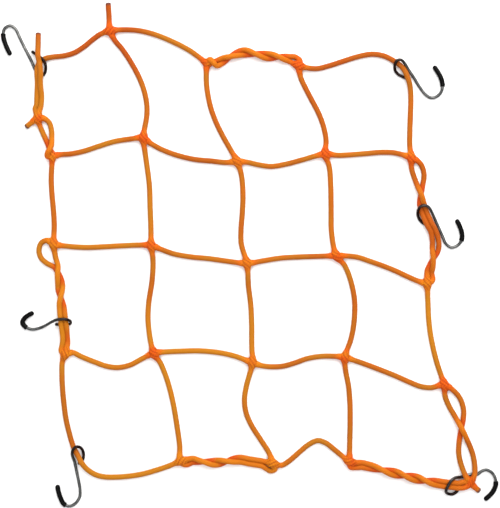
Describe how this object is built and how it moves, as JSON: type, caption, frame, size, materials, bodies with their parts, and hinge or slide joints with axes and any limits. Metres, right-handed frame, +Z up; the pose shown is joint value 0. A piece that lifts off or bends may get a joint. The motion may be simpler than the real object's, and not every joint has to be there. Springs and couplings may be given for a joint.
{
  "type": "cargo net",
  "caption": "Flat elastic cargo net of orange cords pierced through one another, with wire hooks round its rim that hold luggage down on a rack.",
  "frame": {"origin": "under the middle knot, on the surface that the net lies on", "axes": "+Z up from the surface that the net lies on, +X to the right along its rows, +Y up its columns, as seen from above"},
  "size_m": [0.4964, 0.5042, 0.0132],
  "materials": {
    "orange_cord": "fine braid, semi-matt",
    "dark_steel": "dark drawn wire, satin",
    "black_plastic": "glossy"
  },
  "bodies": {
    "root": {"border_cord": "orange_cord", "column_cord": "orange_cord", "row_cord": "orange_cord", "hook_1_wire": "dark_steel", "hook_2_wire": "dark_steel", "hook_3_wire": "dark_steel", "hook_4_wire": "dark_steel", "hook_5_wire": "dark_steel", "hook_6_wire": "dark_steel", "hook_1_sleeve": "black_plastic", "hook_2_sleeve": "black_plastic", "hook_3_sleeve": "black_plastic", "hook_4_sleeve": "black_plastic", "hook_5_sleeve": "black_plastic", "hook_6_sleeve": "black_plastic"}
  },
  "joints": []
}
